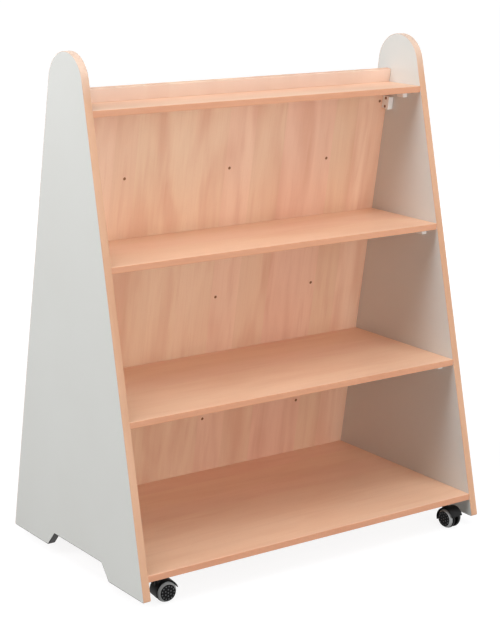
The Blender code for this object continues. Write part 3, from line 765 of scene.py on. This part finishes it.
def wheelPiece(name, look, centre, outward):
    # Turned about the axle: studded cap, groove, a shoulder that leaves the groove at a lean and bends
    # into the flat tread as a parabola, rounded inner edge, ribbed inner face and blind bore.
    # Each ring is (radius, distance out).
    angle = np.linspace(0, 2 * math.pi, look["columns"], endpoint=False)
    quarter = np.linspace(0, math.pi / 2, look["roundRings"] + 1)[1:]
    face = look["outerFace"] - look["dotHeight"]
    tread, inner, rounding = look["treadRadius"], look["innerFace"], look["innerRound"]
    cap = np.linspace(look["capStart"], look["capRadius"], look["capRings"])
    shoulderTop = face - look["shoulderDrop"]
    rise = tread - look["shoulderStart"]
    bend = shoulderTop - rise * math.tan(math.radians(look["shoulderLean"]))
    along = np.linspace(0, 1, look["shoulderRings"])
    shoulderRadius = tread - rise * (1 - along) ** 2
    shoulderOut = ((1 - along) ** 2 * shoulderTop + 2 * along * (1 - along) * bend
                   + along ** 2 * look["shoulderEdge"])
    edgeRun, edgeDrop = look["capEdge"]
    floorHalf = look["grooveWidth"] / 2
    grooveFrom, grooveTo = look["grooveRadius"] - floorHalf, look["grooveRadius"] + floorHalf
    groove = [look["capRadius"] + edgeRun, grooveFrom, grooveTo]
    grooveOut = [face - edgeDrop, face - look["grooveDepth"], face - look["grooveDepth"]]
    treadOut = np.linspace(look["shoulderEdge"], inner + rounding, look["treadRings"] + 1)[1:]
    treadRadius = np.full(len(treadOut), tread)
    innerRadius = tread - rounding + rounding * np.cos(quarter)
    innerOut = inner + rounding - rounding * np.sin(quarter)
    web = np.linspace(tread - rounding - look["innerStep"], look["boreRadius"], look["innerRings"])
    bore = [look["boreRadius"], look["boreTip"]]
    ringRadius = np.concatenate([cap, groove, shoulderRadius, treadRadius, innerRadius, web, bore])
    ringOut = np.concatenate([np.full(len(cap), face), grooveOut, shoulderOut, treadOut, innerOut,
                              np.full(len(web), inner), np.full(len(bore), look["boreEnd"])])
    out = ringOut[:, None] + np.zeros(len(angle))
    radius = ringRadius[:, None] + np.zeros(len(angle))
    dots = capDots(look, radius[:len(cap)], angle)
    out[:len(cap)] += dots
    onWeb = slice(-len(web) - len(bore), -len(bore))
    slope = look["pocketSlope"]
    window = smoothStep(look["pocketFrom"], look["pocketFrom"] + slope, radius)
    window = window * (1 - smoothStep(look["pocketTo"] - slope, look["pocketTo"], radius))
    rib = smoothStep(*look["ribLevels"], np.cos(look["ribs"] * angle))
    out[onWeb] += (look["pocketDepth"] * window * (1 - rib))[onWeb]
    sideways = np.cross(upward, outward)
    rings = (centre + (radius * np.cos(angle))[..., None] * sideways
             + (radius * np.sin(angle))[..., None] * upward + out[..., None] * outward)
    piece = ringPiece(name, rings, "poles", look["sharpDegrees"])
    shoulderFrom = len(cap) + len(groove)
    treadFrom = shoulderFrom + len(shoulderRadius)
    onShoulder = np.zeros(len(ringRadius))
    onShoulder[shoulderFrom:treadFrom] = shoulderRadius < look["greyUpTo"]
    onTread = np.zeros(len(ringRadius))
    onTread[treadFrom:treadFrom + len(treadOut)] = 1
    perPoint(piece, "stud", dots.ravel() / look["dotHeight"])
    perPoint(piece, "shoulder", np.repeat(onShoulder, len(angle)))
    perPoint(piece, "tread", np.repeat(onTread, len(angle)))
    return piece


hoodShape = {
    "outerRadius": 0.028,
    "wall": 0.0018,
    "width": 0.038,
    "crownFall": 0.0005,                # from the middle of the hood to its rims
    "frontAngle": 18.0,
    "rearAngle": 198.0,
    "webThickness": 0.008,
    "webEdge": 0.0006,
    "webOverlap": 0.0002,               # how far the web reaches into the hood's wall
    "lobeRadius": 0.008,
    "lobeAngles": (250.0, 340.0),
    "bossRadius": 0.0075,
    "bossFlare": 0.0014,                # how far the boss widens into the hood
    "flareUpTo": 0.3,                   # share of the boss's height
    "bossChamfer": 0.0008,
    "arcSteps": 72,
    "rimSteps": 9,
    "crownSteps": 13,
    "webColumns": 144,
    "webSharpDegrees": 30,
    "bossColumns": 64,
    "bossRings": 12,
}


def hoodShell(name, look, axle, trailing, across):
    # A flat strip with full-round rims, carried round the axle as an arc. It is slightly crowned:
    # it falls with the fourth power of the distance from its middle.
    half, wall = look["width"] / 2, look["wall"]
    rim = np.linspace(-math.pi / 2, math.pi / 2, look["rimSteps"])
    side = np.linspace(1, -1, look["crownSteps"]) * (half - wall / 2)
    fall = look["crownFall"] * (side / half) ** 4
    rimFall = fall[0]
    right = np.stack([half - wall / 2 + wall / 2 * np.cos(rim),
                      -wall / 2 + wall / 2 * np.sin(rim) - rimFall], -1)
    left = right[::-1] * (-1, 1)
    outer = np.stack([side, -fall], -1)[1:-1]
    inner = np.stack([-side, np.full(len(side), -wall) - fall[::-1]], -1)[1:-1]
    profile = np.vstack([right, outer, left, inner])
    angle = np.radians(np.linspace(look["frontAngle"], look["rearAngle"], look["arcSteps"]))
    radial = np.cos(angle)[:, None] * trailing + np.sin(angle)[:, None] * upward
    reach = look["outerRadius"] + profile[:, 1]
    rings = axle + reach[None, :, None] * radial[:, None] + profile[None, :, 0, None] * across
    return ringPiece(name, rings, "caps")


def hoodWeb(name, look, axle, trailing, across):
    # The plate between the wheels: at each angle round the axle it reaches to the hood's inner wall,
    # to the lobe below the axle, or to the straight line that joins the two
    angle = np.linspace(0, 360, look["webColumns"], endpoint=False) + look["frontAngle"]
    arcRadius = look["outerRadius"] - look["wall"] + look["webOverlap"]
    lobeStart, lobeEnd = look["lobeAngles"]
    spots = np.radians([look["rearAngle"], lobeStart, lobeEnd, look["frontAngle"] + 360])
    reach = np.array([arcRadius, look["lobeRadius"], look["lobeRadius"], arcRadius])
    ends = np.stack([reach * np.cos(spots), reach * np.sin(spots)], -1)

    def lineReach(first, second, turn):  # distance from the axle to the line through two points
        edge = second - first
        ray = np.stack([np.cos(turn), np.sin(turn)], -1)
        return (first[0] * edge[1] - first[1] * edge[0]) / (ray[:, 0] * edge[1] - ray[:, 1] * edge[0])

    turn = np.radians(angle)
    outline = np.where(angle <= look["rearAngle"], arcRadius, look["lobeRadius"])
    outline = np.where((angle > look["rearAngle"]) & (angle < lobeStart),
                       lineReach(ends[0], ends[1], turn), outline)
    outline = np.where(angle > lobeEnd, lineReach(ends[2], ends[3], turn), outline)
    # Eight rings, from the pole of one face over the chamfered edge to the pole of the other
    half, edge = look["webThickness"] / 2, look["webEdge"]
    share = np.array([0.05, 0.5, 1, 1, 1, 1, 0.5, 0.05])
    inset = np.array([0, 0, edge, 0, 0, edge, 0, 0])
    level = np.array([half, half, half, half - edge, edge - half, -half, -half, -half])
    radius = share[:, None] * outline - inset[:, None]
    rings = (axle + (radius * np.cos(turn))[..., None] * trailing
             + (radius * np.sin(turn))[..., None] * upward + level[:, None, None] * across)
    return ringPiece(name, rings, "poles", look["webSharpDegrees"])


def hoodBoss(name, look, axle, stem, trailing, across, top):
    # A round post whose foot follows the hood's curve, flared into it, with a chamfered top
    angle = np.linspace(0, 2 * math.pi, look["bossColumns"], endpoint=False)
    trail = np.linalg.norm((axle - stem)[:2])
    share = np.linspace(0, 1, look["bossRings"])[:, None]
    radius = look["bossRadius"] + look["bossFlare"] * (1 - smoothStep(0, look["flareUpTo"], share))
    radius = radius + np.zeros(len(angle))
    middle = look["outerRadius"] - look["wall"] / 2
    footHeight = axle[2] + np.sqrt(middle ** 2 - (radius[0] * np.cos(angle) - trail) ** 2)
    height = footHeight + (top - look["bossChamfer"] - footHeight) * share
    radius = np.vstack([radius, np.full(len(angle), look["bossRadius"] - look["bossChamfer"])])
    height = np.vstack([height, np.full(len(angle), top)])
    rings = np.append(stem[:2], 0.0) + (
        (radius * np.cos(angle))[..., None] * trailing + (radius * np.sin(angle))[..., None] * across)
    rings += height[..., None] * upward
    return ringPiece(name, rings, "caps")


def dressCastor(end, side):
    castor = f"{end}_{side}_castor"
    label = end + side.capitalize()
    swivel, roll = joints[f"{castor}_swivel"], joints[f"{castor}_roll_1"]
    stem, axle = np.array(swivel["pos_m"]), np.array(roll["pos_m"])
    across = np.array(roll["axis"])
    trailing = (axle - stem) * (1, 1, 0)
    trailing /= np.linalg.norm(trailing)
    bossTop = box(f"{castor}_hood")[1][2]
    shell = hoodShell(label + "HoodShell", hoodShape, axle, trailing, across)
    web = hoodWeb(label + "HoodWeb", hoodShape, axle, trailing, across)
    boss = hoodBoss(label + "HoodBoss", hoodShape, axle, stem, trailing, across, bossTop)
    for piece in (shell, web, boss):
        settle(piece, blackPolyamide, f"{castor}_fork", "black_castor_nylon", f"{castor}_hood")
    for number in (1, 2):
        node = f"{castor}_wheel_{number}"
        low, high = box(node)
        outward = across * np.sign(((low + high) / 2 - axle) @ across)
        wheel = wheelPiece(f"{label}Wheel{number}", wheelShape, axle, outward)
        settle(wheel, castorWheel, f"{castor}_roller_{number}", "grey_castor_wheel", node)
    plateLow, plateHigh = box(f"{castor}_plate")
    plateMiddle = (plateLow + plateHigh) / 2
    spots = [(x, y) for x in (-1, 1) for y in (-1, 1)]
    for number, spot in enumerate(spots, 1):
        centre = np.array([*(plateMiddle[:2] + panScrew["spacing"] / 2 * np.array(spot)), stem[2]])
        screw = screwPiece(f"{label}PlateScrew{number}", panScrew, centre, -upward)
        settle(screw, zincSteel, "carcass", "zinc_plated_steel")


for end in ("front", "rear"):
    for side in ("left", "right"):
        dressCastor(end, side)


# Studio: a pale floor, a white surround, and soft lamps in front at three heights, to both sides
# and behind
studio = {
    "floorSize": 60.0,
    "floorDrop": 0.0002,
    "floorTone": "#B4B4B2",             # what the floor gives back to the object
    "floorGlow": (0.88, 1.0),           # white seen by the camera near the object and far away
    "floorGlowReach": (1.5, 4.0),       # between these distances from the middle
    "floorShadow": "#7C7C7E",
    "ambient": 0.05,
    "aim": (0.0, 0.0, 0.55),
    "lamps": {                          # place, width and height in metres, power in watts
        "frontLowLamp": ((0.0, -4.48, 0.94), (2.0, 2.0), 63.0),
        "frontLamp": ((0.0, -3.90, 2.80), (2.0, 2.0), 37.0),
        "frontHighLamp": ((0.84, -2.09, 4.45), (2.0, 2.0), 52.0),
        "rightLowLamp": ((4.21, -1.53, 0.94), (2.0, 2.0), 31.0),
        "leftLamp": ((-3.88, 0.34, 2.80), (2.0, 2.0), 102.0),
        "leftHighLamp": ((-2.13, -0.72, 4.45), (2.0, 2.0), 66.0),
        "rightLamp": ((4.30, 1.30, 1.30), (2.0, 2.0), 70.0),
        "backLamp": ((-0.40, 4.50, 1.30), (2.4, 2.0), 76.0),
    },
}


def seenDirectly(tree):  # 1 for rays from the eye, and for what metal or glass mirrors
    path = addNode(tree, "ShaderNodeLightPath", {})
    seen = addNode(tree, "ShaderNodeMath", {
        0: path.outputs["Is Camera Ray"], 1: path.outputs["Is Glossy Ray"]},
        operation="MAXIMUM").outputs[0]
    return addNode(tree, "ShaderNodeMath", {
        0: seen, 1: path.outputs["Is Transmission Ray"]}, operation="MAXIMUM").outputs[0]


def studioFloor(look):
    finish, tree = emptyFinish("studioFloorPainted")
    bounce = addNode(tree, "ShaderNodeBsdfDiffuse", {"Color": linear(look["floorTone"])}).outputs[0]
    place = addNode(tree, "ShaderNodeTexCoord", {}).outputs["Object"]
    distance = addNode(tree, "ShaderNodeVectorMath", {0: place}, operation="LENGTH").outputs["Value"]
    whiter = addNode(tree, "ShaderNodeMapRange", {
        "Value": distance, "From Min": look["floorGlowReach"][0], "From Max": look["floorGlowReach"][1],
        "To Min": look["floorGlow"][0], "To Max": look["floorGlow"][1]},
        interpolation_type="SMOOTHSTEP").outputs[0]
    glow = addNode(tree, "ShaderNodeEmission", {"Strength": whiter}).outputs[0]
    shadow = addNode(tree, "ShaderNodeBsdfDiffuse", {"Color": linear(look["floorShadow"])}).outputs[0]
    pale = addNode(tree, "ShaderNodeAddShader", {0: glow, 1: shadow}).outputs[0]
    mixed = addNode(tree, "ShaderNodeMixShader", {0: seenDirectly(tree), 1: bounce, 2: pale}).outputs[0]
    addNode(tree, "ShaderNodeOutputMaterial", {"Surface": mixed})
    reach = np.array([-0.5, 0.5]) * look["floorSize"]
    corners = [(x, y, -look["floorDrop"]) for x, y in zip(reach[[0, 1, 1, 0]], reach[[0, 0, 1, 1]])]
    mesh = bpy.data.meshes.new("studioFloor")
    mesh.from_pydata(corners, [], [(0, 1, 2, 3)])
    mesh.materials.append(finish)
    floor = bpy.data.objects.new("studioFloor", mesh)
    bpy.context.scene.collection.objects.link(floor)


def studioSurround(look):
    world = bpy.data.worlds.new("studioSurround")
    world.use_nodes = True
    tree = world.node_tree
    tree.nodes.clear()
    evenWhite = linear("#FFFFFF")
    light = addNode(tree, "ShaderNodeBackground", {
        "Color": evenWhite, "Strength": look["ambient"]}).outputs[0]
    white = addNode(tree, "ShaderNodeBackground", {"Color": evenWhite, "Strength": 1.0}).outputs[0]
    mixed = addNode(tree, "ShaderNodeMixShader", {0: seenDirectly(tree), 1: light, 2: white}).outputs[0]
    addNode(tree, "ShaderNodeOutputWorld", {"Surface": mixed})
    bpy.context.scene.world = world


def softLamp(name, place, size, power, aim):
    lamp = bpy.data.lights.new(name, "AREA")
    lamp.shape = "RECTANGLE"
    lamp.size, lamp.size_y = size
    lamp.energy = power
    stand = bpy.data.objects.new(name, lamp)
    stand.location = place
    stand.rotation_euler = (Vector(place) - Vector(aim)).to_track_quat("Z", "Y").to_euler()
    bpy.context.scene.collection.objects.link(stand)


studioFloor(studio)
studioSurround(studio)
for name, lamp in studio["lamps"].items():
    softLamp(name, *lamp, studio["aim"])
bpy.context.scene.view_settings.view_transform = "Standard"
print("studio: floor, surround and", len(studio["lamps"]), "lamps")


# Camera: where the photograph was taken from, for an image of 500 x 617 pixels
viewpoint = {
    "place": (-2.4737, -3.4193, 1.6081),
    "turnDegrees": (79.686, -0.691, -35.685),   # about X, Y and Z
    "imageSize": (500, 617),
    "focalPixels": 1765.66,
    "centrePixel": (250.6, 200.6),      # where the lens axis meets the image
    "sensor": 36.0,                     # millimetres along the image's longer side
}


def photoCamera(look):
    longSide = max(look["imageSize"])
    data = bpy.data.cameras.new("photoCamera")
    data.sensor_width = look["sensor"]
    data.lens = look["sensor"] * look["focalPixels"] / longSide
    data.shift_x = (look["imageSize"][0] / 2 - look["centrePixel"][0]) / longSide
    data.shift_y = (look["centrePixel"][1] - look["imageSize"][1] / 2) / longSide
    camera = bpy.data.objects.new("photoCamera", data)
    camera.location = look["place"]
    camera.rotation_euler = np.radians(look["turnDegrees"])
    bpy.context.scene.collection.objects.link(camera)
    bpy.context.scene.camera = camera


photoCamera(viewpoint)
print("camera: set at the photograph's viewpoint")
